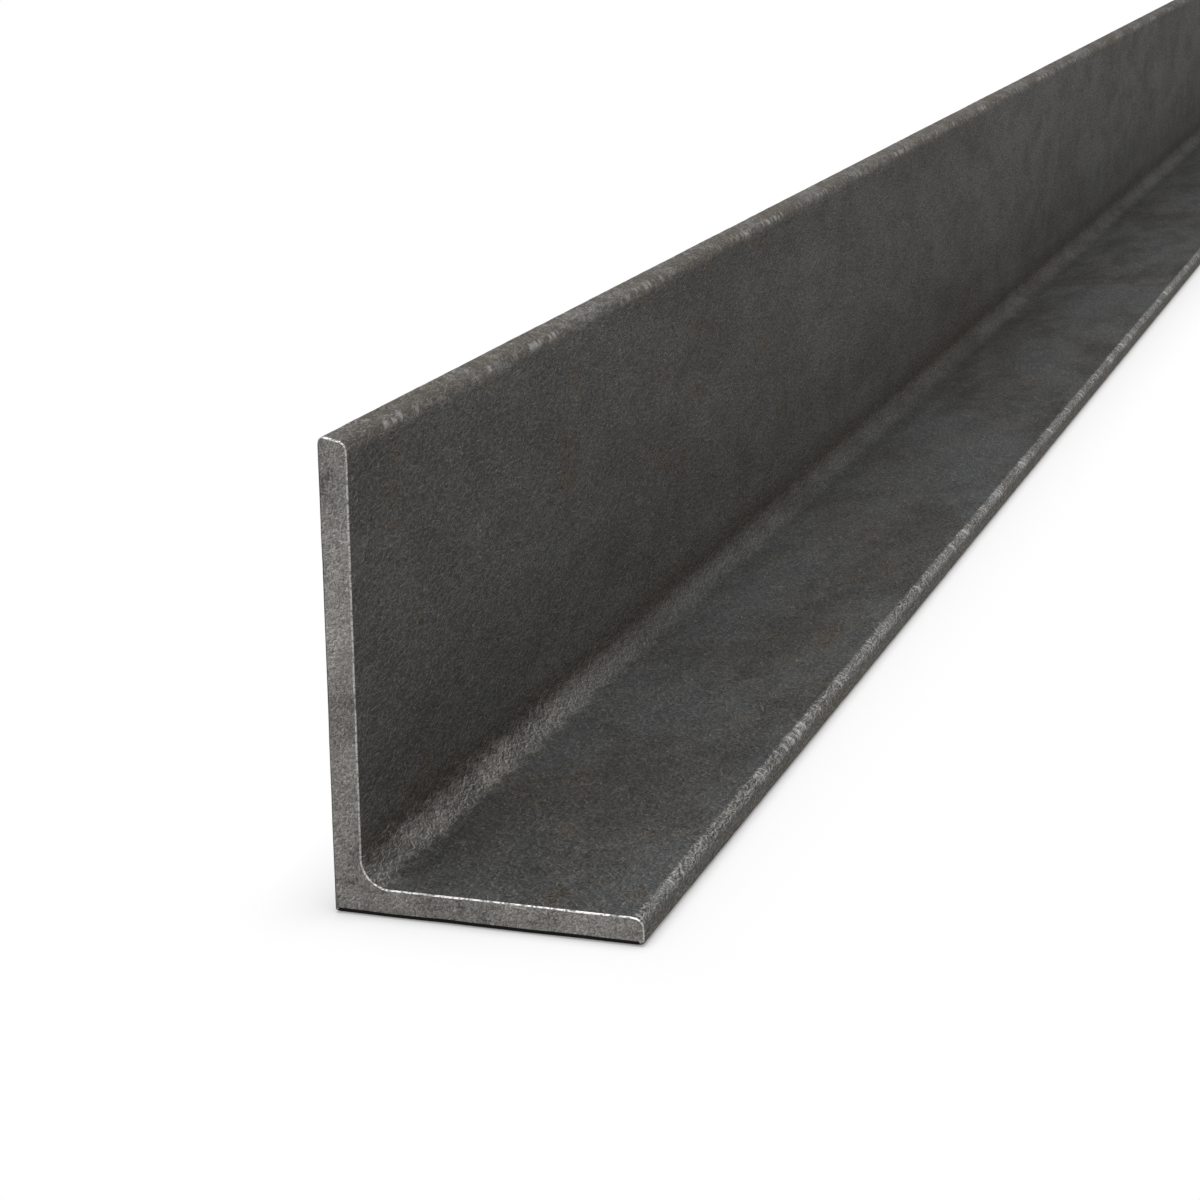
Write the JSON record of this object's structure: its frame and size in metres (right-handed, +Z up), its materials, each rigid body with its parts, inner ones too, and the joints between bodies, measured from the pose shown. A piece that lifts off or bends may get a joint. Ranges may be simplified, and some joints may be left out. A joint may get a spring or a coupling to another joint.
{
  "type": "unequal-leg steel angle section",
  "caption": "Length of hot-rolled steel angle with one long leg, one short leg, a filleted root, rounded toes and sawn ends.",
  "frame": {"origin": "on the floor, below the middle of the bar, halfway across the short leg and halfway along the length", "axes": "+X across the bar from the heel to the short leg's toe, +Y along the bar away from the near sawn end, +Z up the long leg"},
  "size_m": [0.0508, 1.2192, 0.0762],
  "materials": {
    "mill_scale_steel": "matte"
  },
  "bodies": {
    "root": {"angle_bar": "mill_scale_steel"}
  },
  "joints": []
}
